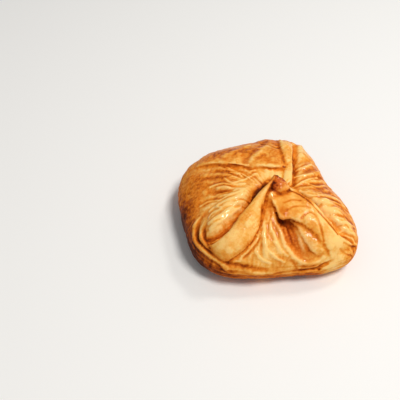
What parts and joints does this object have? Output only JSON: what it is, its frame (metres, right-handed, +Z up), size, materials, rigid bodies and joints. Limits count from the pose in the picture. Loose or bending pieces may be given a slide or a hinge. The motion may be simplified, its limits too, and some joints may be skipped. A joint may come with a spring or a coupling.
{
  "type": "cheese pastry",
  "caption": "Baked puff pastry parcel: a square of dough with its corners folded over the filling to a pinched knob, with pleats, a torn leaf and a rolled lip, on a flat base.",
  "frame": {"origin": "under the middle of the outline, on the flat base the pastry rests on", "axes": "+Z up, the pastry's shortest way; -Y towards the front flap below the knob; +X to the side of the torn leaf"},
  "size_m": [0.1074, 0.1078, 0.0459],
  "materials": {
    "crust": "egg-washed baked puff pastry, golden to orange brown, slightly glossy on the raised parts"
  },
  "bodies": {
    "root": {"pastry": "crust"}
  },
  "joints": []
}
